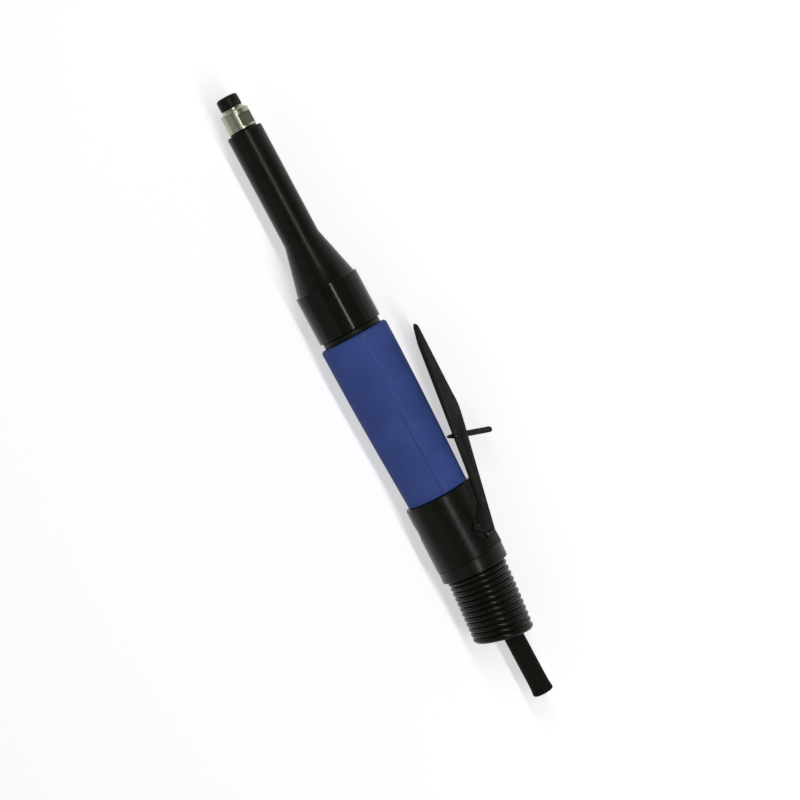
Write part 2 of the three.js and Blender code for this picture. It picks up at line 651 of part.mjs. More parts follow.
// ---------------------------------------------------------------- throttle lever and lock-off catch
function throttleLever() {
  const tipX = pivotX - LEVER_TIP.reach;
  const bendX = pivotX - LEVER_BEND.reach;
  const endX = pivotX + LEVER_END.reach;
  const outer = [
    ...arc(tipX + LEVER_TIP.round, LEVER_TIP.top - LEVER_TIP.round, LEVER_TIP.round, 180, 90, 3),
    [bendX - LEVER_BEND.half, LEVER_BEND.y + LEVER_BEND.lift],
    [bendX, LEVER_BEND.y],
    [bendX + LEVER_BEND.half, LEVER_BEND.y - LEVER_BEND.fall],
    [endX, LEVER_END.y],
  ];
  const lower = [
    [endX, LEVER_END.y - LEVER_END.depth],
    ...arc(pivotX, PIVOT.y, LEVER.ear, 20, -210, 8),
    [pivotX - FLANGE.heelReach, FLANGE.heelY],
    [pivotX - FLANGE.rearReach, FLANGE.rearY],
    [pivotX - FLANGE.frontReach, FLANGE.frontY],
    [tipX + LEVER_TIP.wall, FLANGE.tipUnder],
  ];
  const half = LEVER.width / 2;
  const inside = half - LEVER.sheet;
  const channel = [
    ...outer.map(([x, y]) => [x, y - LEVER.sheet]).slice(3, -1),
    [endX + OVER, LEVER_END.y - LEVER.sheet],
    [endX + OVER, 0],
    [tipX + LEVER_TIP.round, 0],
  ];
  const slotHalf = CATCH.width / 2 + GAP;
  return cut(
    plate([...outer, ...lower], -half, half),
    plate(channel, -inside, inside),
    block([catchX - CATCH_SLOT.front, CATCH.y, -slotHalf], [catchX + CATCH_SLOT.rear, LEVER_BEND.y, slotHalf]),
    crossPin(pivotX, PIVOT.y, LEVER.pinRadius + GAP, half + OVER),
    crossPin(catchX, CATCH.y, CATCH.pin + GAP, half + OVER),
  );
}

// A bar that turns on its pin: its foot blocks the lever against the grip and its tab stands out of the slot.
function lockOffCatch() {
  const { bar, tab, foot, toe, hub } = CATCH;
  const outline = [
    ...arc(0, tab - bar, bar, 0, 180, 5),
    [-bar, 0],
    [-toe, -foot],
    [toe, -foot],
    [bar, 0],
  ];
  const half = CATCH.width / 2;
  const body = fuse(plate(outline, -half, half), crossPin(0, 0, hub, half));
  return cut(body, crossPin(0, 0, CATCH.pin + GAP, half + OVER));
}

function catchSpring() {
  const { coil, wire: thickness, turns } = CATCH_SPRING;
  const start = CATCH.width / 2 + thickness + GAP;
  const end = LEVER.width / 2 - LEVER.sheet - thickness - GAP;
  return wire(new Helix(coil, turns, start, end), thickness, 10 * turns);
}

// A pin through the lever's ears and the housing's rib, with a head outside each ear.
function leverPivotPin() {
  const headZ = LEVER.width / 2 + GAP;
  const endZ = headZ + LEVER.headLength;
  const outline = [
    [headZ, LEVER.pinRadius],
    [headZ, LEVER.headRadius],
    [endZ - LEVER.headLength / 2, LEVER.headRadius],
    [endZ, LEVER.headRadius - LEVER.headLength / 2],
    [endZ, 0],
  ];
  const mirrored = outline.map(([z, radius]) => [-z, radius]).reverse();
  return turned([...mirrored, ...outline], SMALL).rotateY(Math.PI / 2).translate(pivotX, PIVOT.y, 0);
}

add("throttle_lever", throttleLever(), blackSteel);
add("lever_pivot_pin", leverPivotPin(), blackSteel);
const catchMesh = add("lock_off_catch", lockOffCatch(), blackSteel);
catchMesh.position.set(catchX, CATCH.y, 0);
catchMesh.rotation.z = -CATCH_TILT;
add("lock_off_pin", crossPin(catchX, CATCH.y, CATCH.pin, LEVER.width / 2), groundSteel);
add("lock_off_spring", catchSpring(), springSteel).position.set(catchX, CATCH.y, 0);

// ---------------------------------------------------------------- air inlet
const strainerX = inletX + GAP;
const nippleX = strainerX + STRAINER.thickness + GAP;
const supplyX = nippleHexX + NIPPLE.hexLength + GAP;

function inletStrainer() {
  const holes = Array.from({ length: STRAINER.holes }, (_, i) =>
    rod(strainerX - OVER, strainerX + STRAINER.thickness + OVER, STRAINER.hole, 8)
      .translate(0, STRAINER.at, 0)
      .rotateX((2 * Math.PI * i) / STRAINER.holes),
  );
  const centre = rod(strainerX - OVER, strainerX + STRAINER.thickness + OVER, STRAINER.hole, 8);
  return cut(rod(strainerX, strainerX + STRAINER.thickness, INLET.radius - GAP), centre, ...holes);
}

function inletNipple() {
  const barbX = nippleHexX + NIPPLE.hexLength;
  const root = SUPPLY.bore - GAP - NIPPLE.barb;
  const pitch = NIPPLE.barbLength / NIPPLE.barbs;
  const barbs = Array.from({ length: NIPPLE.barbs }, (_, i) => [
    [barbX + pitch * i, root + NIPPLE.barb],
    [barbX + pitch * (i + 1), root],
  ]).flat();
  const endX = barbX + NIPPLE.barbLength;
  const body = turned([
    [nippleX, NIPPLE.bore],
    [nippleX, INLET.radius - GAP],
    [nippleHexX, INLET.radius - GAP],
    [barbX, INLET.radius - GAP],
    ...barbs,
    [endX, NIPPLE.bore],
  ], SMALL);
  const hex = cut(
    prismBar(nippleHexX, nippleHexX + NIPPLE.hexLength, NIPPLE.hexAcross, 6),
    rod(nippleHexX - OVER, barbX + OVER, INLET.radius - GAP - NIPPLE.hexWeld),
  );
  return fuse(body, hex);
}

add("inlet_strainer", inletStrainer(), brass);
add("inlet_nipple", inletNipple(), brass);
const ferruleX = supplyX + FERRULE.start;
const ferruleBore = SUPPLY.radius + GAP;
const ferruleEndX = ferruleX + FERRULE.length;
add("hose_ferrule", tube(ferruleX, ferruleEndX, ferruleBore, ferruleBore + FERRULE.wall), springSteel);

// ---------------------------------------------------------------- exhaust hose
// A ring round the hose's cuff, square to the hose, with its front face against the housing.
function exhaustCollar() {
  const bore = COLLAR.radius - COLLAR.wall;
  const lean = COLLAR.radius * Math.tan(HOSE_TILT);
  const ring = turned([
    [-lean, bore],
    [-lean, COLLAR.radius],
    ...arc(COLLAR.length - COLLAR.edge, COLLAR.radius - COLLAR.edge, COLLAR.edge, 90, 0, 2),
    [COLLAR.length, bore],
  ], SMOOTH).rotateZ(-HOSE_TILT);
  const across = 2 * COLLAR.radius;
  return cut(ring, block([-2 * lean - OVER, -across, -across], [0, across, across]));
}

// A ring that fits the housing's rear bore, with a spigot for the hose that points the hose's way.
function exhaustAdapter() {
  const plugRadius = EXHAUST_CHAMBER.radius - GAP;
  const ring = turned([
    [housingEndX - EXHAUST_CHAMBER.length + GAP, ADAPTER.bore],
    [housingEndX - EXHAUST_CHAMBER.length + GAP, plugRadius],
    [collarX, plugRadius],
    [collarX, ADAPTER.flange],
    [collarX + ADAPTER.flangeLength, ADAPTER.flange],
    [collarX + ADAPTER.flangeLength, ADAPTER.bore],
  ], SMOOTH);
  const spigot = tube(-2 * ADAPTER.flangeLength, ADAPTER.spigotLength, ADAPTER.bore, ADAPTER.spigot, SMOOTH)
    .rotateZ(-HOSE_TILT)
    .translate(hoseX, -COLLAR.drop, 0);
  const way = rod(-3 * ADAPTER.flangeLength, ADAPTER.flangeLength, ADAPTER.bore, SMOOTH)
    .rotateZ(-HOSE_TILT)
    .translate(hoseX, -COLLAR.drop, 0);
  const across = 2 * COLLAR.radius;
  const clearFront = block([collarX - ADAPTER.spigotLength, -across, -across], [collarX, across, across]);
  return fuse(cut(ring, way), cut(spigot, clearFront));
}

// A ribbed hose that starts along X, whose rings lean more and more, up to HOSE_BEND at its end.
function exhaustHose() {
  const ribStart = HOSE.cuffLength;
  const ribs = Array.from({ length: HOSE.ribs }, (_, i) => {
    const start = ribStart + HOSE.pitch * i;
    const rib = HOSE.rib - (HOSE_END.taper * i) / (HOSE.ribs - 1);
    return [
      [start + RIB.foot * HOSE.pitch, HOSE.root],
      [start + RIB.front * HOSE.pitch, rib],
      [start + RIB.rear * HOSE.pitch, rib],
    ];
  }).flat();
  const length = ribStart + HOSE.pitch * HOSE.ribs + HOSE.tail;
  const straight = turned([
    [0, HOSE.bore],
    [0, HOSE.cuff],
    [ribStart, HOSE.cuff],
    ...ribs,
    [length, HOSE.root],
    [length, HOSE.bore],
    [length / 2, HOSE.bore],
  ], HOSE_FACETS);
  const place = straight.attributes.position;
  for (let i = 0; i < place.count; i += 1) {
    const share = place.getX(i) / length;
    const side = place.getY(i);
    const lean = share * HOSE_BEND;
    const sag = HOSE_END.sag * share ** 2;
    place.setXY(i, place.getX(i) + side * Math.sin(lean), side * Math.cos(lean) - sag);
  }
  return straight;
}

add("exhaust_collar", exhaustCollar(), blackRubber).position.set(collarX, -COLLAR.drop, 0);
add("exhaust_adapter", exhaustAdapter(), aluminium);
const hose = add("exhaust_hose", exhaustHose(), blackRubber);
hose.position.set(hoseX, -COLLAR.drop, 0);
hose.rotation.z = -HOSE_TILT;

// ---------------------------------------------------------------- the tool's place in its own frame
// The origin is under the middle of the tool without its air hose, on the surface that it lies on.
const extent = new THREE.Box3().setFromObject(tool, true);
const middle = extent.getCenter(new THREE.Vector3());

const supplyEndX = supplyX + SUPPLY.length;
const supplyHose = turned([
  [supplyX, SUPPLY.bore],
  [supplyX, SUPPLY.radius],
  ...arc(supplyEndX - SUPPLY.edge, SUPPLY.radius - SUPPLY.edge, SUPPLY.edge, 90, 0, 2),
  [supplyEndX, SUPPLY.bore],
]);
add("air_supply_hose", supplyHose, blackRubber);

tool.position.set(-middle.x, -middle.y, -extent.min.z);
const root = new THREE.Group();
root.add(tool);

export default root;
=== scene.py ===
"""The looks of a long-nose pneumatic straight grinder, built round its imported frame.

Stations are in millimetres: s along the tool from the front of its collet nut, y towards its
throttle lever and z upwards, both from the tool's axis.
"""
import math

import bmesh
import bpy
from mathutils import Matrix, Vector


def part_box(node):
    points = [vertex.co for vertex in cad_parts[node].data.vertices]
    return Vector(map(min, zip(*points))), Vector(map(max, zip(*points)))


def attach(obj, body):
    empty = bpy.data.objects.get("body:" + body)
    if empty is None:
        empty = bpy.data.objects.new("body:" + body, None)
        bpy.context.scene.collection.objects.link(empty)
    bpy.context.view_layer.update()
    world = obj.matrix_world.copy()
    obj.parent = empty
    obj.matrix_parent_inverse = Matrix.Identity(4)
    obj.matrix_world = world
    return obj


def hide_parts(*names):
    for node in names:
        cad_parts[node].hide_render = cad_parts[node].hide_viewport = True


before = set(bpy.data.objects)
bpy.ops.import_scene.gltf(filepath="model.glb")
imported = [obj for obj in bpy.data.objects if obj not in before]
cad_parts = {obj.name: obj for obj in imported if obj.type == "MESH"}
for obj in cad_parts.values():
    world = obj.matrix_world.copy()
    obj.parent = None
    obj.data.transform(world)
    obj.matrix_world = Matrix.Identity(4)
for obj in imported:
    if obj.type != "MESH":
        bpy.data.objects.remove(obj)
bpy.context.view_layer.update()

MM = 0.001
GAP = 0.3  # clearance between neighbouring pieces
SIDES = 112  # segments round the large shells
PIN_SIDES = 48  # segments round pins and cross bores
TINY = 1e-4  # the radius that stands for a point on an axis
MERGE = 1e-7  # vertices nearer than this, in metres, are one


# ---------------------------------------------------------------- stations from the frame
def middle(node):
    low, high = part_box(node)
    return (Vector(low) + Vector(high)) / 2


AXIS = middle("spindle")
NOSE_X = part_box("collet_nut")[0][0]
ORIGIN = Vector((NOSE_X, AXIS.y, AXIS.z))


def place(s, y, z):
    """The point in the row frame, in metres, at the station s, y, z in millimetres."""
    return ORIGIN + Vector((s, y, z)) * MM


def span(node):
    """The first and last station of a node, in millimetres."""
    low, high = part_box(node)
    return (low[0] - NOSE_X) / MM, (high[0] - NOSE_X) / MM


NUT_THREAD_END = span("collet_nut")[1]
NECK_FRONT, BASE_END = span("nose_sleeve")
GRIP_FRONT, GRIP_END = span("grip_sleeve")
HOUSING_FRONT, HOUSING_END = span("valve_housing")
COLLAR_FRONT = span("exhaust_collar")[0]
SUPPLY_FRONT, SUPPLY_END = span("air_supply_hose")
FERRULE_FRONT, FERRULE_END = span("hose_ferrule")
PIVOT = (middle("lever_pivot_pin") - ORIGIN) / MM
CATCH = (middle("lock_off_pin") - ORIGIN) / MM
VALVE = (middle("valve_plug") - ORIGIN) / MM

CONE_FRONT, CONE_END = 95.7, 125.7  # where the nose widens from its neck to its base

# ---------------------------------------------------------------- camera
TILT = math.radians(4)
ROLL = math.radians(61.9)
FOCUS_STATION = 205.5  # the camera looks at this station, and the lamps stand round it
FOCUS_SEEN = Vector((-0.0069, -0.0010, -1.44))  # the focus, seen from the camera
LENS, SENSOR = 108, 36


def make_camera():
    back = Vector((-math.sin(TILT), 0, math.cos(TILT)))
    along = Vector((math.cos(TILT), 0, math.sin(TILT)))
    across = Vector((0, 1, 0))
    right = along * math.cos(ROLL) + across * math.sin(ROLL)
    up = across * math.cos(ROLL) - along * math.sin(ROLL)
    data = bpy.data.cameras.new("camera")
    data.lens = LENS
    data.sensor_width = SENSOR
    camera = bpy.data.objects.new("camera", data)
    bpy.context.scene.collection.objects.link(camera)
    focus_seen = right * FOCUS_SEEN.x + up * FOCUS_SEEN.y + back * FOCUS_SEEN.z
    location = place(FOCUS_STATION, 0, 0) - focus_seen
    camera.matrix_world = Matrix.Translation(location) @ Matrix((right, up, back)).transposed().to_4x4()
    bpy.context.scene.camera = camera


make_camera()


# ---------------------------------------------------------------- mesh tools
def arc(u, v, radius, start, end, steps=6):
    """Points on an arc about (u, v), with its angles in degrees."""
    angles = [math.radians(start + (end - start) * i / steps) for i in range(steps + 1)]
    return [(u + radius * math.cos(a), v + radius * math.sin(a)) for a in angles]


def crease(mesh, degrees=32):
    """Shades a mesh smooth, with sharp edges where its faces turn by more than the angle."""
    build = bmesh.new()
    build.from_mesh(mesh)
    bmesh.ops.remove_doubles(build, verts=build.verts, dist=MERGE)
    bmesh.ops.recalc_face_normals(build, faces=build.faces)
    limit = math.radians(degrees)
    for face in build.faces:
        face.smooth = True
    for edge in build.edges:
        edge.smooth = len(edge.link_faces) == 2 and edge.calc_face_angle(math.pi) < limit
    build.to_mesh(mesh)
    build.free()


def solid(name, points, faces):
    """An object in the row frame from points [s, y, z] in millimetres."""
    mesh = bpy.data.meshes.new(name)
    mesh.from_pydata([place(*point) for point in points], [], faces)
    crease(mesh)
    piece = bpy.data.objects.new(name, mesh)
    bpy.context.scene.collection.objects.link(piece)
    return piece


def ring_faces(rings, sides, closed):
    """Faces between neighbouring rings of points, and from the last to the first if closed."""
    faces = []
    last = rings if closed else rings - 1
    for i in range(last):
        a, b = i * sides, ((i + 1) % rings) * sides
        for j in range(sides):
            k = (j + 1) % sides
            faces.append((a + j, a + k, b + k, b + j))
    return faces


def revolve(name, outline, sides, point_at):
    """A body of rings from [along, radius] points. An outline off the axis closes on itself."""
    on_axis = outline[0][1] == 0
    points = []
    for along, radius in outline:
        reach = max(radius, TINY)
        for j in range(sides):
            angle = 2 * math.pi * j / sides
            points.append(point_at(along, reach * math.cos(angle), reach * math.sin(angle)))
    faces = ring_faces(len(outline), sides, closed=not on_axis)
    if on_axis:
        faces.append(tuple(range(sides)))
        faces.append(tuple(range((len(outline) - 1) * sides, len(outline) * sides)))
    return solid(name, points, faces)


def unbent(s, y, z):
    return s, y, z


def lathe(name, outline, sides=SIDES, warp=unbent):
    """A body turned round the tool's axis from [s, radius] points, then bent by the warp."""
    return revolve(name, outline, sides, warp)


def pin(name, s, y, outline, sides=PIN_SIDES):
    """A body turned round the Z axis through (s, y), from [z, radius] points."""
    return revolve(name, outline, sides, lambda z, ahead, aside: (s + ahead, y + aside, z))


def upright(name, s, outline, sides=PIN_SIDES):
    """A body turned round the Y axis at the station s, from [y, radius] points."""
    return revolve(name, outline, sides, lambda y, ahead, above: (s + ahead, y, above))


def prism(name, outline, z0, z1):
    """A plate with an outline of [s, y] points."""
    count = len(outline)
    points = [(s, y, z0) for s, y in outline] + [(s, y, z1) for s, y in outline]
    sides = [(i, (i + 1) % count, count + (i + 1) % count, count + i) for i in range(count)]
    return solid(name, points, [tuple(range(count)), tuple(range(count, 2 * count)), *sides])


def box(name, low, high):
    outline = [(low[0], low[1]), (high[0], low[1]), (high[0], high[1]), (low[0], high[1])]
    return prism(name, outline, low[2], high[2])


def turn(piece, point, axis, angle):
    """Turns a mesh about a point in the row frame."""
    centre = Vector(point)
    rotation = Matrix.Rotation(angle, 4, axis)
    piece.data.transform(Matrix.Translation(centre) @ rotation @ Matrix.Translation(-centre))
    return piece


def carve(piece, *cutters, bevel=0.0, angle=38, segments=3):
    """Cuts the cutters out of a piece, then rounds its edges by the bevel, in millimetres."""
    for number, cutter in enumerate(cutters):
        step = piece.modifiers.new(f"cut_{number}", "BOOLEAN")
        step.operation = "DIFFERENCE"
        step.solver = "EXACT"
        step.object = cutter
    if bevel:
        rounding = piece.modifiers.new("rounding", "BEVEL")
        rounding.width = bevel * MM
        rounding.segments = segments
        rounding.limit_method = "ANGLE"
        rounding.angle_limit = math.radians(angle)
        rounding.use_clamp_overlap = True
    bpy.context.view_layer.update()
    graph = bpy.context.evaluated_depsgraph_get()
    result = bpy.data.meshes.new_from_object(piece.evaluated_get(graph))
    piece.modifiers.clear()
    piece.data = result
    for cutter in cutters:
        bpy.data.objects.remove(cutter)
    crease(piece.data)
    return piece


# ---------------------------------------------------------------- materials
class Shader:
    """A material's nodes, with short ways to make the ones that repeat."""

    def __init__(self, name):
        self.material = bpy.data.materials.new(name)
        self.material.use_nodes = True
        self.tree = self.material.node_tree
        self.base = self.tree.nodes["Principled BSDF"]
        self.place = self.node("ShaderNodeTexCoord").outputs["Object"]

    def node(self, kind, **values):
        made = self.tree.nodes.new(kind)
        for key, value in values.items():
            setattr(made, key, value)
        return made

    def link(self, output, target):
        self.tree.links.new(output, target)

    def mapped(self, scale):
        mapping = self.node("ShaderNodeMapping")
        mapping.inputs["Scale"].default_value = scale
        self.link(self.place, mapping.inputs["Vector"])
        return mapping.outputs["Vector"]

    def noise(self, scale, detail=4, stretch=(1, 1, 1), roughness=0.5):
        noise = self.node("ShaderNodeTexNoise")
        noise.inputs["Scale"].default_value = scale
        noise.inputs["Detail"].default_value = detail
        noise.inputs["Roughness"].default_value = roughness
        self.link(self.mapped(stretch), noise.inputs["Vector"])
        return noise.outputs["Fac"]

    def math(self, operation, first, second=0.0, clamp=False):
        step = self.node("ShaderNodeMath", operation=operation)
        step.use_clamp = clamp
        for value, target in ((first, step.inputs[0]), (second, step.inputs[1])):
            if isinstance(value, (int, float)):
                target.default_value = value
            else:
                self.link(value, target)
        return step.outputs[0]

    def ramp(self, value, low, high, out_low=0.0, out_high=1.0):
        remap = self.node("ShaderNodeMapRange")
        remap.inputs["From Min"].default_value = low
        remap.inputs["From Max"].default_value = high
        remap.inputs["To Min"].default_value = out_low
        remap.inputs["To Max"].default_value = out_high
        self.link(value, remap.inputs["Value"])
        return remap.outputs["Result"]

    def mix(self, factor, first, second):
        blend = self.node("ShaderNodeMix", data_type="RGBA")
        if isinstance(factor, (int, float)):
            blend.inputs["Factor"].default_value = factor
        else:
            self.link(factor, blend.inputs["Factor"])
        for value, target in ((first, blend.inputs["A"]), (second, blend.inputs["B"])):
            if isinstance(value, tuple):
                target.default_value = (*value, 1)
            else:
                self.link(value, target)
        return blend.outputs["Result"]

    def bump(self, *heights):
        """Bumps of (height, depth in millimetres), one on the other."""
        normal = None
        for height, depth in heights:
            bump = self.node("ShaderNodeBump")
            bump.inputs["Strength"].default_value = 1
            bump.inputs["Distance"].default_value = depth * MM
            self.link(height, bump.inputs["Height"])
            if normal:
                self.link(normal, bump.inputs["Normal"])
            normal = bump.outputs["Normal"]
        self.link(normal, self.base.inputs["Normal"])

    def finish(self, color, roughness, metallic=0.0, specular=0.5):
        self.link(color, self.base.inputs["Base Color"])
        self.link(roughness, self.base.inputs["Roughness"])
        self.base.inputs["Metallic"].default_value = metallic
        self.base.inputs["Specular IOR Level"].default_value = specular
        return self.material


DUST_GAIN = 2.2  # how much lighter the dust is than the surface


def moulded(name, dark, light, rough, specular=0.3, grain=1800, depth=0.01, smooth_from=None):
    """Moulded rubber or coated metal: a fine grain, a slow change of tone and a little dust.

    Behind the station smooth_from the surface is as smooth as a polished one.
    """
    shader = Shader(name)
    mottle = shader.noise(70, 6)
    fine = shader.noise(grain, 3)
    tone = shader.ramp(mottle, 0.3, 0.7)
    speck = shader.ramp(fine, 0.62, 0.8, 0, 0.4)
    dust = tuple(min(1, DUST_GAIN * channel) for channel in light)
    color = shader.mix(speck, shader.mix(tone, dark, light), dust)
    spread = shader.ramp(shader.noise(260, 5), 0.3, 0.7, rough[0], rough[1])
    if smooth_from is not None:
        split = shader.node("ShaderNodeSeparateXYZ")
        shader.link(shader.place, split.inputs[0])
        step = place(smooth_from, 0, 0).x
        behind = shader.ramp(split.outputs["X"], step - MM, step + MM, 1, 0.5)
        spread = shader.math("MULTIPLY", spread, behind)
    shader.bump((fine, depth), (shader.noise(450, 4), depth))
    return shader.finish(color, spread, specular=specular)


FLAT_TURN = math.radians(46)
FLAT_HALF, FLAT_FRONT, FLAT_END = 7.0, 12.9, 20.3  # the spindle's wrench flats


def flat_mask(shader):
    """One on the spindle's wrench flats and nought elsewhere."""
    split = shader.node("ShaderNodeSeparateXYZ")
    shader.link(shader.place, split.inputs[0])
    x, y, z = split.outputs
    normal = Matrix.Rotation(-FLAT_TURN, 3, "X") @ Vector((0, 0, 1))
    away = shader.math("MULTIPLY", shader.math("SUBTRACT", y, AXIS.y), normal.y)
    up = shader.math("MULTIPLY", shader.math("SUBTRACT", z, AXIS.z), normal.z)
    distance = shader.math("ABSOLUTE", shader.math("ADD", away, up))
    edge = 0.05 * MM
    mask = shader.ramp(distance, FLAT_HALF * MM - 2 * edge, FLAT_HALF * MM - edge)
    behind = shader.math("GREATER_THAN", x, place(FLAT_FRONT, 0, 0).x)
    before = shader.math("LESS_THAN", x, place(FLAT_END, 0, 0).x)
    return shader.math("MULTIPLY", mask, shader.math("MULTIPLY", behind, before))


def turned_metal(name, dark, light, rough, lines=5200, depth=0.004, flat=None):
    """Metal turned on a lathe: fine rings round the axis, with smudges and small scratches.

    The colour flat is a painted dark reflection on the milled wrench flats, which are also rougher.
    """
    shader = Shader(name)
    rings = shader.noise(lines, 3, stretch=(1, 0.01, 0.01))
    wide = shader.noise(900, 2, stretch=(1, 0.02, 0.02))
    smudge = shader.noise(120, 6)
    tone = shader.math("MULTIPLY", shader.ramp(smudge, 0.3, 0.7), 0.6)
    tone = shader.math("ADD", tone, shader.math("MULTIPLY", wide, 0.5), clamp=True)
    color = shader.mix(tone, dark, light)
    spread = shader.ramp(smudge, 0.3, 0.7, rough[0], rough[1])
    if flat:
        # the wrench flats take the painted dark reflection as their colour, and a rougher finish
        mask = flat_mask(shader)
        color = shader.mix(mask, color, flat)
        spread = shader.math("ADD", spread, shader.math("MULTIPLY", mask, 0.25))
    shader.bump((rings, depth), (shader.noise(2600, 2, stretch=(0.2, 1, 1)), depth))
    return shader.finish(color, spread, metallic=1.0)


PANEL_FRONT, PANEL_LOW, PANEL_HIGH = 214.5, -11.2, 2.8  # the grip's bare panel
# the band of painted sheen along the top of the grip: lighter streaks this far from the axis towards
# the lever
SHEEN_LOW, SHEEN_HIGH, SHEEN_FADE = 4.4, 8.4, 1.2


def blue_rubber():
    """The grip: matt blue rubber with a fine grain, a bare panel with a seam, and a painted sheen of
    lighter streaks in a band along its top.
    """
    shader = Shader("blue_rubber")
    split = shader.node("ShaderNodeSeparateXYZ")
    shader.link(shader.place, split.inputs[0])
    x, y, z = split.outputs

    def between(value, low, high, soft):
        rise = shader.ramp(value, low - soft, low + soft)
        fall = shader.ramp(value, high - soft, high + soft, 1, 0)
        return shader.math("MULTIPLY", rise, fall)

    fine = shader.noise(2400, 3)
    mottle = shader.noise(45, 5)
    edge = 0.4 * MM
    panel_from, panel_to = place(PANEL_FRONT, PANEL_LOW, 0), place(GRIP_END, PANEL_HIGH, 0)
    above = shader.ramp(z, AXIS.z, AXIS.z + edge)
    panel = shader.math("MULTIPLY", between(x, panel_from.x, panel_to.x, edge), above)
    panel = shader.math("MULTIPLY", panel, between(y, panel_from.y, panel_to.y, edge))
    seam = between(y, panel_to.y - edge, panel_to.y + edge, edge / 2)
    seam = shader.math("MULTIPLY", seam, above)
    seam = shader.math("MULTIPLY", seam, between(x, panel_from.x, panel_to.x, edge))
    # painted sheen: lighter blue streaks, only on the top of the grip, in a band beside the axis on the
    # lit side
    sheen_from, sheen_to = place(0, SHEEN_LOW, 0).y, place(0, SHEEN_HIGH, 0).y
    sheen_band = between(y, sheen_from, sheen_to, SHEEN_FADE * MM)
    sheen_noise = shader.noise(520, 6, stretch=(0.25, 1, 1), roughness=0.65)
    sheen_streak = shader.ramp(sheen_noise, 0.52, 0.68)
    sheen_streak = shader.math("MULTIPLY", shader.math("MULTIPLY", sheen_streak, sheen_band), above)
    blue = shader.mix(shader.ramp(mottle, 0.3, 0.7), (0.038, 0.067, 0.256), (0.055, 0.094, 0.342))
    blue = shader.mix(shader.ramp(fine, 0.55, 0.8, 0, 0.4), blue, (0.09, 0.14, 0.38))
    blue = shader.mix(shader.math("MULTIPLY", panel, 0.35), blue, (0.055, 0.09, 0.31))
    # paints the sheen streaks in a lighter blue
    blue = shader.mix(shader.math("MULTIPLY", sheen_streak, 0.45), blue, (0.13, 0.18, 0.36))
    blue = shader.mix(shader.math("MULTIPLY", seam, 0.3), blue, (0.010, 0.016, 0.05))
    spread = shader.ramp(mottle, 0.3, 0.7, 0.62, 0.8)
    shader.bump((fine, 0.018), (shader.noise(700, 3), 0.015), (panel, 0.12), (seam, -0.06))
    return shader.finish(blue, spread, specular=0.18)


def plain_name(material):
    return material.name.split(".")[0]


def make_materials():
    """Every finish, by its slot's name or its own."""
    dark, light = (0.0045, 0.0065, 0.0032), (0.0075, 0.0098, 0.0058)
    fibre_dark, fibre_light = (0.12, 0.06, 0.025), (0.2, 0.1, 0.045)
    steel_dark, steel_light = (0.33, 0.35, 0.26), (0.45, 0.47, 0.37)
    spring_dark, spring_light = (0.3, 0.3, 0.31), (0.42, 0.42, 0.43)
    bearing_dark, bearing_light = (0.5, 0.51, 0.52), (0.6, 0.61, 0.62)
    aluminium_dark, aluminium_light = (0.4, 0.41, 0.42), (0.52, 0.53, 0.54)
    brass_dark, brass_light = (0.46, 0.33, 0.12), (0.62, 0.46, 0.19)
    # painted dark reflection for the spindle's wrench flats
    flat_dark_reflection = (0.13, 0.14, 0.095)
    made = [
        moulded("black_rubber", dark, light, (0.24, 0.32), 0.17, smooth_from=CONE_END),
        moulded("hose_rubber", dark, light, (0.7, 0.85), 0.12, 1400, 0.02),
        moulded("ribbed_rubber", dark, light, (0.2, 0.28), 0.19, 1400, 0.01),
        moulded("collar_rubber", dark, light, (0.24, 0.32), 0.2, 1800, 0.012),
        moulded("seal_rubber", dark, light, (0.55, 0.7), 0.3),
        moulded("black_housing", dark, light, (0.24, 0.32), 0.16, 2600, 0.02),
        moulded("black_steel", dark, light, (0.36, 0.5), 0.16, 3000, 0.008),
        blue_rubber(),
        moulded("vane_fibre", fibre_dark, fibre_light, (0.6, 0.75), 0.4, 2200, 0.02),
        turned_metal("ground_steel", steel_dark, steel_light, (0.26, 0.36), flat=flat_dark_reflection),
        turned_metal("spring_steel", spring_dark, spring_light, (0.25, 0.35), 3000),
        turned_metal("bearing_steel", bearing_dark, bearing_light, (0.12, 0.2), 6000),
        turned_metal("aluminium", aluminium_dark, aluminium_light, (0.3, 0.42), 3600),
        turned_metal("brass", brass_dark, brass_light, (0.25, 0.36), 3600),
    ]
    return {plain_name(material): material for material in made}


MATERIALS = make_materials()


def wear(piece, body, slot, *nodes, finish=None):
    """Gives a new piece its finish, the one named by its slot unless another is given, and its body, in
    place of the frame's nodes.
    """
    piece.data.materials.clear()
    piece.data.materials.append(MATERIALS[finish or slot])
    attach(piece, body)
    if nodes:
        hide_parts(*nodes)
    return piece


def finish_frame_nodes():
    """Every node of the frame that shows gets its material slot's finish."""
    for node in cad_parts.values():
        for slot in node.material_slots:
            slot.material = MATERIALS.get(plain_name(slot.material), MATERIALS["black_steel"])


# ---------------------------------------------------------------- collet nut and spindle
def flats(s0, s1, half, radius):
    """Two blocks outside a pair of wrench flats."""
    cutters = []
    for turn_by in (-FLAT_TURN, math.pi - FLAT_TURN):
        cutter = box("flat", (s0, -radius - 1, half), (s1, radius + 1, radius + 2))
        cutters.append(turn(cutter, ORIGIN, "X", turn_by))
    return cutters


def collet_nut():
    length, radius, edge, bore = 7.3, 6.75, 1.6, 3.4
    thread, seat, seat_depth = 5.4, 4.3, 1.9
    flats_length, flats_half = 3.8, 6.1
    outline = [
        *arc(0.4, bore + 0.4, 0.4, 270, 180, 4),
        *arc(edge, radius - edge, edge, 170, 90, 8),
        *arc(length - 0.3, radius - 0.3, 0.3, 90, 0, 3),
        (length, thread),
        (NUT_THREAD_END, thread),
        (NUT_THREAD_END, seat),
        (seat_depth, seat),
        (seat_depth, bore),
    ]
    body = lathe("collet_nut_body", outline, 96)
    carve(body, *flats(length - flats_length, length + 1, flats_half, radius), bevel=0.12)
    return wear(body, "collet_nut", "black_steel", "collet_nut")


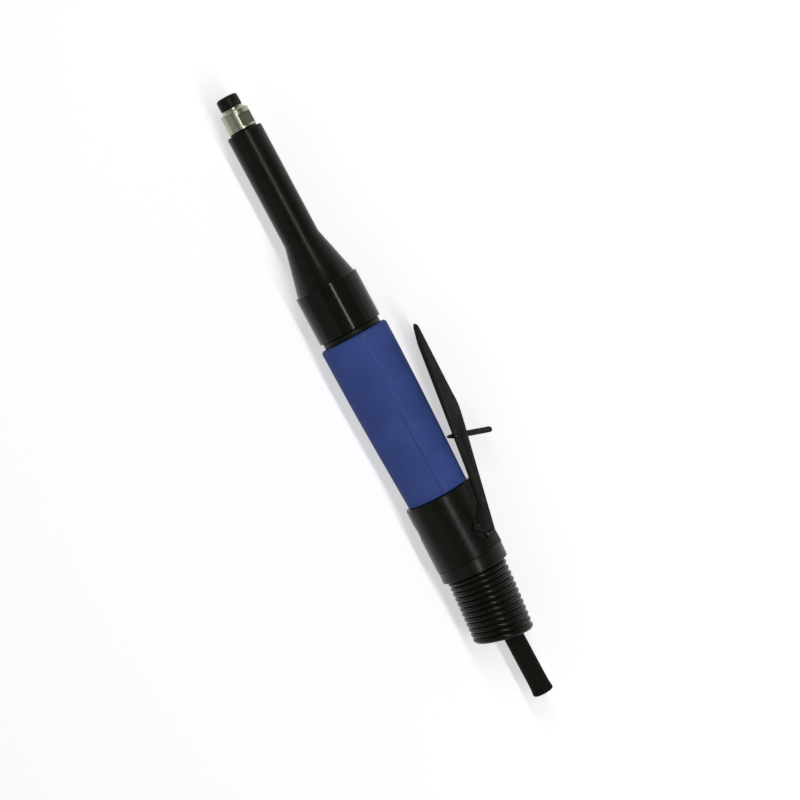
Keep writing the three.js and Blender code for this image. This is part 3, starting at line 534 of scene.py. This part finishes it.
def spindle():
    rim_front, rim = 7.6, 6.7
    head_front, head_end, head, chamfer = 9.3, 22.5, 8.8, 0.8
    tang_length, tang_half = 14, 3
    shaft, shaft_end = 4, span("spindle")[1] - tang_length
    collet_end = span("collet")[1]
    taper, socket, socket_end, core = 4.3, 5.7, 13.3, 0.5
    outline = [
        (rim_front, socket),
        *arc(rim_front + 0.2, rim - 0.2, 0.2, 180, 90, 2),
        (head_front, rim),
        (head_front, head - chamfer),
        (head_front + chamfer, head),
        (head_front + 1.9, head),
        (head_front + 2.05, head - 0.15),
        (head_front + 2.2, head),
        (head_end - chamfer, head),
        (head_end, head - chamfer),
        (head_end, shaft),
        (shaft_end, shaft),
        (shaft_end, core),
        (collet_end + GAP, core),
        (collet_end + GAP, taper),
        (socket_end, taper),
        (socket_end, socket),
    ]
    body = lathe("spindle_body", outline, 96)
    carve(body, *flats(FLAT_FRONT, FLAT_END, FLAT_HALF, head), bevel=0.15)
    tang_low = (shaft_end - GAP, -tang_half, -tang_half)
    tang = box("tang", tang_low, (shaft_end + tang_length, tang_half, tang_half))
    build = bmesh.new()
    build.from_mesh(body.data)
    build.from_mesh(tang.data)
    build.to_mesh(body.data)
    build.free()
    bpy.data.objects.remove(tang)
    return wear(body, "spindle", "ground_steel", "spindle")


# ---------------------------------------------------------------- nose, motor housing and grip
def nose_sleeve():
    neck, cone, base = 11.25, 18.8, 20.2
    neck_wall, base_wall = 1.25, 1.4
    front = NECK_FRONT
    outline = [
        (front + 0.2, neck - neck_wall),
        *arc(front + 0.9, neck - 0.9, 0.9, 180, 90, 6),
        *arc(CONE_FRONT - 1.2, neck + 6, 6, 270, 284, 4),
        (CONE_END - 0.2, cone - 0.05),
        (CONE_END, cone + 0.1),
        *arc(CONE_END + 0.5, base - 0.5, 0.5, 180, 90, 5),
        *arc(BASE_END - 0.9, base - 0.9, 0.9, 90, 0, 6),
        (BASE_END, base - base_wall),
        (CONE_END + 4.2, base - base_wall),
        (CONE_FRONT + 2.8, neck - neck_wall),
    ]
    return wear(lathe("nose_sleeve_body", outline), "housing", "black_rubber", "nose_sleeve")


def motor_housing():
    start, end = span("motor_housing")
    ring, main, bore = 18.5, 17.2, 15.3
    spigot, end_bore, end_depth, ring_length = 16.7, 13, 6, 3
    front = BASE_END + GAP
    ring_end = front + ring_length
    outline = [
        (start, bore),
        (start, spigot),
        (front, spigot),
        *arc(front + 0.3, ring - 0.3, 0.3, 180, 90, 3),
        *arc(ring_end - 0.3, ring - 0.3, 0.3, 90, 0, 3),
        (ring_end, main),
        (end, main),
        (end, end_bore),
        (end - end_depth, end_bore),
        (end - end_depth, bore),
    ]
    return wear(lathe("motor_housing_body", outline), "housing", "black_steel", "motor_housing")


def grip_sleeve():
    bore, front, middle_radius, rear = 17.5, 21.7, 21.3, 19.45
    outline = [
        (GRIP_FRONT, bore),
        *arc(GRIP_FRONT + 2, front - 2, 2, 180, 92, 10),
        (GRIP_FRONT + 20, 21.6),
        (GRIP_FRONT + 44.5, middle_radius),
        (GRIP_FRONT + 75, 20.45),
        (GRIP_END - 3, rear + 0.08),
        *arc(GRIP_END - 0.6, rear - 0.6, 0.6, 90, 0, 5),
        (GRIP_END, bore),
    ]
    return wear(lathe("grip_sleeve_body", outline), "housing", "blue_rubber", "grip_sleeve")


# ---------------------------------------------------------------- valve housing
LEVER_HALF = 7.0


def valve_housing():
    front, rear, edge = 21.8, 22.4, 0.7
    outline = [
        (HOUSING_FRONT, 0),
        *arc(HOUSING_FRONT + edge, front - edge, edge, 180, 90, 5),
        *arc(HOUSING_END - edge, rear - edge, edge, 90, 0, 5),
        (HOUSING_END, 0),
    ]
    body = lathe("valve_housing_body", outline, 128)
    outside, near, far = 26, HOUSING_FRONT - 1, HOUSING_END + 2
    outer, rib_half = LEVER_HALF + GAP, 4.9
    slope = math.tan(math.radians(11.5))
    cheek_front, cheek_rear, cheek_end = 21.9, 20.5, HOUSING_FRONT + 35.2

    def cheek(s):
        return cheek_front - (s - HOUSING_FRONT) * slope

    cheeks = prism("cheeks", [
        (near, cheek(near)),
        (cheek_end, cheek(cheek_end)),
        (cheek_end, cheek_rear),
        (far, cheek_rear),
        (far, outside),
        (near, outside),
    ], -outside, outside)
    socket, socket_end = 17.5, HOUSING_FRONT + 7.5
    pocket_y, groove_y, rear_y = 16.4, 17.9, 12.5
    neck = (PIVOT.x - 9.5, 14.6)
    ear = arc(PIVOT.x, PIVOT.y, 5.2, 165, 345, 24)
    behind = [(cheek_end, rear_y), (cheek_end, outside), (near, outside)]
    groove = [(near, groove_y), (socket_end, groove_y), neck, *ear, *behind]
    pocket = [(near, pocket_y), neck, *ear, *behind]
    pin_way, valve_way, stem_way = 2.3, 5.2, 3.5
    valve_top, stem_foot = 3.3, 3
    inlet, inlet_front = 7.3, HOUSING_END - 19.8
    exhaust, exhaust_front = 16.5, HOUSING_END - 5

    def bored(name, start, end, radius, sides):
        return lathe(name, [(start, 0), (start, radius), (end, radius), (end, 0)], sides)

    def crossed(start, end, radius):
        return [(start, 0), (start, radius), (end, radius), (end, 0)]

    cutters = [
        cheeks,
        prism("groove_a", groove, rib_half, outer),
        prism("groove_b", groove, -outer, -rib_half),
        prism("pocket_a", pocket, outer - 0.01, outside),
        prism("pocket_b", pocket, -outside, -outer + 0.01),
        bored("socket", near, socket_end, socket, 96),
        pin("pin_way", PIVOT.x, PIVOT.y, crossed(-outside, outside, pin_way)),
        upright("valve_way", VALVE.x, crossed(-outside, valve_top, valve_way)),
        upright("stem_way", VALVE.x, crossed(stem_foot, outside, stem_way)),
        bored("inlet", inlet_front, far, inlet, 64),
        bored("exhaust_ring", exhaust_front, far, exhaust, 96),
    ]
    carve(body, *cutters, bevel=0.35, angle=50)
    return wear(body, "housing", "black_housing", "valve_housing")


def valve_plug():
    face, radius, length = -21.2, 4.9, 7
    hexagon, hexagon_depth = 3, 3
    body = upright("valve_plug_body", VALVE.x, [
        (face, 0),
        *arc(face + 0.4, radius - 0.4, 0.4, 180, 90, 4),
        (face + length, radius),
        (face + length, 0),
    ])
    socket = upright("socket_hex", VALVE.x, [
        (face - 1, 0),
        (face - 1, hexagon),
        (face + hexagon_depth, hexagon),
        (face + hexagon_depth, 0),
    ], 6)
    carve(body, socket, bevel=0.12)
    return wear(body, "housing", "black_steel", "valve_plug")


def pivot_pin():
    radius, head, start = 2, 2.9, LEVER_HALF + GAP
    side = [
        (start, radius),
        (start, head),
        *arc(start + 0.5, head - 0.6, 0.6, 90, 0, 5),
        (start + 1.1, 0),
    ]
    outline = [(-z, r) for z, r in reversed(side)] + side
    body = pin("lever_pivot_pin_body", PIVOT.x, PIVOT.y, outline)
    return wear(body, "housing", "black_steel", "lever_pivot_pin")


# ---------------------------------------------------------------- lever and catch
CATCH_PIN = 1.2


def pin_way(name, centre, radius):
    """A bore across the lever, a little longer than the lever is wide."""
    reach = LEVER_HALF + 2
    outline = [(-reach, 0), (-reach, radius), (reach, radius), (reach, 0)]
    return pin(name, centre.x, centre.y, outline)


def throttle_lever():
    tip, bend, end = PIVOT.x - 124.9, PIVOT.x - 70, PIVOT.x + 6.5
    tip_round, tip_y, tip_under = 2.1, 35, 34.2
    end_outer, end_lower, ear, sheet = 20.4, 15.9, 4, 1.5
    back = [
        (bend - 8, 36.36),
        (bend - 4, 36.45),
        (bend, 36.2),
        (bend + 4, 35.6),
        (bend + 8, 34.8),
    ]
    outer = [
        *arc(tip + tip_round, tip_y, tip_round, 180, 90, 8),
        *back,
        (end, end_outer),
    ]
    lower = [
        (end, end_lower),
        *arc(PIVOT.x, PIVOT.y, ear, 20, -210, 24),
        (PIVOT.x - 12, 19),
        (PIVOT.x - 33.5, 22),
        (PIVOT.x - 112.6, 31.6),
        (tip + 1.5, tip_under),
    ]
    body = prism("throttle_lever_body", [*outer, *lower], -LEVER_HALF, LEVER_HALF)
    channel = [
        (tip + tip_round, tip_y + tip_round - sheet),
        *[(s, y - sheet) for s, y in back],
        (end + 1, end_outer - sheet),
        (end + 1, 0),
        (tip + tip_round, 0),
    ]
    inside = LEVER_HALF - sheet
    slot_front, slot_end, slot_half = CATCH.x - 3, CATCH.x + 19, 2.3
    cutters = [
        prism("channel", channel, -inside, inside),
        box("slot", (slot_front, CATCH.y, -slot_half), (slot_end, 40, slot_half)),
        pin_way("pivot_way", PIVOT, 2.3),
        pin_way("catch_way", CATCH, CATCH_PIN + GAP),
    ]
    carve(body, *cutters, bevel=0.35, angle=40)
    return wear(body, "throttle_lever", "black_steel", "throttle_lever")


def lock_off_catch():
    bar, tab, foot, toe, hub = 1.7, 20.6, 6.9, 0.6, 2.6
    half, tilt = 2, math.radians(17.5)
    outline = [
        *arc(0, tab - bar, bar, 0, 180, 12),
        (-bar, 2.1),
        *arc(0, 0, hub, 130, 230, 10),
        (-bar, -2.2),
        (-toe, -foot),
        (toe, -foot),
        (bar, -2.2),
        *arc(0, 0, hub, -50, 50, 10),
        (bar, 2.1),
    ]
    placed = [(CATCH.x + s, CATCH.y + y) for s, y in outline]
    body = prism("lock_off_catch_body", placed, -half, half)
    turn(body, place(CATCH.x, CATCH.y, 0), "Z", -tilt)
    carve(body, pin_way("way", CATCH, CATCH_PIN + GAP), bevel=0.3, angle=40)
    return wear(body, "lock_off_catch", "black_steel", "lock_off_catch")


def lock_off_pin():
    radius, edge = CATCH_PIN, 0.2
    side = [(LEVER_HALF - edge, radius), (LEVER_HALF, radius - edge), (LEVER_HALF, 0)]
    outline = [(-z, r) for z, r in reversed(side)] + side
    body = pin("lock_off_pin_body", CATCH.x, CATCH.y, outline)
    return wear(body, "throttle_lever", "black_steel", "lock_off_pin")


# ---------------------------------------------------------------- hoses
HOSE_TILT = math.radians(3)
HOSE_FAN = math.radians(9)
HOSE_SAG = 1.2
HOSE_DROP = 0.95
RIBS = 12
RIB_PITCH = 3.57
CUFF, CUFF_RADIUS = 5.8, 18.7
HOSE_BORE = 15.7
FLANGE = 2  # the adapter's flange, ahead of the hose's cuff
HOSE_LENGTH = CUFF + RIB_PITCH * RIBS + 0.3
HOSE_FRONT = COLLAR_FRONT + FLANGE + CUFF_RADIUS * math.sin(HOSE_TILT) + GAP


def tilted(s, y, z):
    """A point of the exhaust hose's own frame, in the tool's."""
    return (
        HOSE_FRONT + s * math.cos(HOSE_TILT) + y * math.sin(HOSE_TILT),
        -HOSE_DROP + y * math.cos(HOSE_TILT) - s * math.sin(HOSE_TILT),
        z,
    )


def fanned(s, y, z):
    """A point of the straight exhaust hose, on the bent one."""
    share = s / HOSE_LENGTH
    lean = share * HOSE_FAN
    return tilted(s + y * math.sin(lean), y * math.cos(lean) - HOSE_SAG * share**2, z)


def exhaust_hose():
    root, rib, taper, steps = 17.7, 19.0, 0.2, 10
    roundness = 0.85  # a rib is rounder the nearer this is to nought
    ribs = []
    for i in range(RIBS):
        height = rib - taper * i / (RIBS - 1) - root
        for step in range(steps):
            share = step / steps
            swell = math.sin(math.pi * share) ** roundness
            ribs.append((CUFF + RIB_PITCH * (i + share), root + height * swell))
    outline = [
        (0, HOSE_BORE),
        (0, CUFF_RADIUS),
        (CUFF - 0.2, CUFF_RADIUS),
        *ribs,
        (HOSE_LENGTH - 0.3, root),
        *arc(HOSE_LENGTH - 0.4, root - 0.4, 0.4, 90, 0, 3),
        (HOSE_LENGTH, HOSE_BORE),
        (HOSE_LENGTH / 2, HOSE_BORE),
    ]
    body = lathe("exhaust_hose_body", outline, SIDES, warp=fanned)
    return wear(body, "housing", "hose_rubber", "exhaust_hose", finish="ribbed_rubber")


def exhaust_collar():
    radius, length, edge, wall = 21.25, 8.3, 0.6, 1.85
    lean = radius * math.tan(HOSE_TILT)

    def tipped(s, y, z):
        """A point of the straight collar, on the tilted one, which stops at the housing."""
        cosine, sine = math.cos(HOSE_TILT), math.sin(HOSE_TILT)
        along = COLLAR_FRONT + s * cosine + y * sine
        return max(along, COLLAR_FRONT), -HOSE_DROP + y * cosine - s * sine, z

    outline = [
        (-lean, radius - wall),
        (-lean, radius),
        *arc(length - edge, radius - edge, edge, 90, 0, 6),
        (length, radius - wall),
    ]
    body = lathe("exhaust_collar_body", outline, warp=tipped)
    return wear(body, "housing", "black_rubber", "exhaust_collar", finish="collar_rubber")


SUPPLY_RADIUS, SUPPLY_BORE = 6.1, 4.1


def air_supply_hose():
    """The air hose lies straight behind the tool and flares a little at its bare end."""
    end, flare, reach, steps, rim = SUPPLY_END, 0.5, 9, 12, 1.2
    outline = [
        (SUPPLY_FRONT, SUPPLY_BORE),
        *arc(SUPPLY_FRONT + 0.3, SUPPLY_RADIUS - 0.3, 0.3, 180, 90, 3),
    ]
    for i in range(steps):
        share = i / steps
        outline.append((end - rim - reach * (1 - share), SUPPLY_RADIUS + flare * share**2))
    outline += [
        *arc(end - rim, SUPPLY_RADIUS + flare - rim, rim, 90, 20, 6),
        (end, SUPPLY_BORE + 0.6),
        (end - 0.5, SUPPLY_BORE),
    ]
    body = wear(lathe("air_hose", outline, 72), "housing", "hose_rubber", "air_supply_hose")
    return body


def hose_ferrule():
    bore, outer = 6.4, 7.4
    outline = [
        (FERRULE_FRONT, bore),
        *arc(FERRULE_FRONT + 0.3, outer - 0.3, 0.3, 180, 90, 3),
        *arc(FERRULE_END - 0.3, outer - 0.3, 0.3, 90, 0, 3),
        (FERRULE_END, bore),
    ]
    return wear(lathe("hose_ferrule_body", outline, 64), "housing", "spring_steel", "hose_ferrule")


# ---------------------------------------------------------------- floor and light
def make_floor():
    size, glow = 12, 0.5
    mesh = bpy.data.meshes.new("floor")
    corners = [(-size, -size, 0), (size, -size, 0), (size, size, 0), (-size, size, 0)]
    mesh.from_pydata(corners, [], [(0, 1, 2, 3)])
    floor = bpy.data.objects.new("floor", mesh)
    bpy.context.scene.collection.objects.link(floor)
    shader = Shader("floor")
    paths = shader.node("ShaderNodeLightPath").outputs
    seen = shader.math("MAXIMUM", paths["Is Camera Ray"], paths["Is Glossy Ray"])
    seen = shader.math("MAXIMUM", seen, paths["Is Transmission Ray"])
    shader.base.inputs["Base Color"].default_value = (0.86, 0.86, 0.86, 1)
    shader.base.inputs["Roughness"].default_value = 0.9
    shader.base.inputs["Specular IOR Level"].default_value = 0
    shader.base.inputs["Emission Color"].default_value = (1, 1, 1, 1)
    shader.link(shader.math("MULTIPLY", seen, glow), shader.base.inputs["Emission Strength"])
    mesh.materials.append(shader.material)


def panel(name, angle, distance, width, length, radiance):
    """A long lamp parallel to the tool, at an angle from straight above towards the lever."""
    data = bpy.data.lights.new(name, "AREA")
    data.shape = "RECTANGLE"
    data.size = length
    data.size_y = width
    data.energy = radiance * math.pi * width * length
    lamp = bpy.data.objects.new(name, data)
    bpy.context.scene.collection.objects.link(lamp)
    lean = math.radians(angle)
    away = Vector((0, math.sin(lean), math.cos(lean)))
    lamp.location = place(FOCUS_STATION, 0, 0) + away * distance
    lamp.rotation_euler = (-lean, 0, 0)
    lamp.visible_camera = False


def make_light():
    panel("strip", 14, 0.9, 0.055, 1.8, 17)
    panel("side_right", 90, 0.9, 0.8, 1.6, 0.42)
    panel("soft_left", -60, 0.9, 1.0, 1.8, 0.3)
    world = bpy.data.worlds.new("world")
    bpy.context.scene.world = world
    world.use_nodes = True
    background = world.node_tree.nodes["Background"]
    background.inputs["Color"].default_value = (1, 1, 1, 1)
    background.inputs["Strength"].default_value = 0.14


finish_frame_nodes()
air_supply_hose()
collet_nut()
spindle()
nose_sleeve()
motor_housing()
grip_sleeve()
valve_housing()
valve_plug()
pivot_pin()
throttle_lever()
lock_off_catch()
lock_off_pin()
exhaust_hose()
exhaust_collar()
hose_ferrule()
make_floor()
make_light()
bpy.context.scene.view_settings.view_transform = "Standard"
